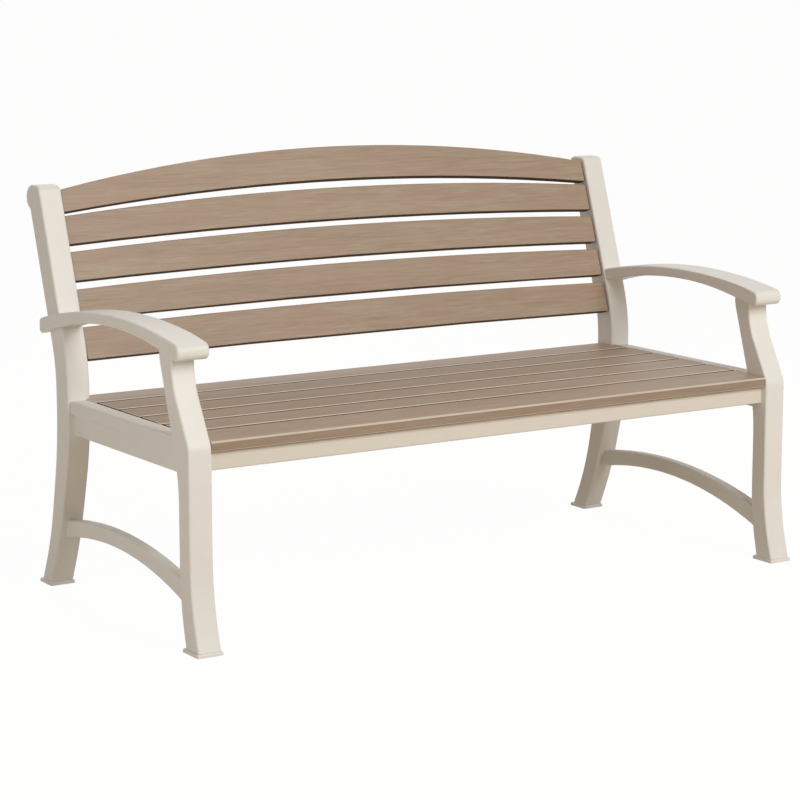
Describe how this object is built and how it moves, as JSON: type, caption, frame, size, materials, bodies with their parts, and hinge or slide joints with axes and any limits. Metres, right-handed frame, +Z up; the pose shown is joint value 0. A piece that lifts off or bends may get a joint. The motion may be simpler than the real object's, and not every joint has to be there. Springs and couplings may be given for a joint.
{
  "type": "garden bench",
  "caption": "Slatted outdoor bench with curved legs, raked posts ending in scrolls, arched armrests, low arched stretchers and a bowed crest rail.",
  "frame": {"origin": "on the floor, under the middle of the bench's overall box", "axes": "+X along the seat, +Y from the front to the back, +Z up"},
  "size_m": [1.574, 0.7982, 0.9484],
  "materials": {
    "frame": "satin cream, softly moulded",
    "slats": "taupe with a fine wood grain along the board",
    "feet": "satin cream",
    "fittings": "stainless, brushed"
  },
  "bodies": {
    "root": {"arched_stretcher_l": "frame", "arched_stretcher_r": "frame", "armrest_l": "frame", "armrest_r": "frame", "back_brackets_l": "fittings", "back_brackets_r": "fittings", "back_slat_1": "slats", "back_slat_2": "slats", "back_slat_3": "slats", "back_slat_4": "slats", "back_slat_5": "slats", "foot_pad_front_l": "feet", "foot_pad_front_r": "feet", "foot_pad_rear_l": "feet", "foot_pad_rear_r": "feet", "front_apron": "frame", "front_leg_l": "frame", "front_leg_r": "frame", "rear_apron": "frame", "rear_post_l": "frame", "rear_post_r": "frame", "seat_bearer_l": "frame", "seat_bearer_r": "frame", "seat_cleat_l": "frame", "seat_cleat_r": "frame", "seat_end_rail_l": "frame", "seat_end_rail_r": "frame", "seat_side_apron_l": "frame", "seat_side_apron_r": "frame", "seat_slat_1": "slats", "seat_slat_2": "slats", "seat_slat_3": "slats", "seat_slat_4": "slats", "seat_slat_5": "slats", "seat_slat_6": "slats"}
  },
  "joints": []
}
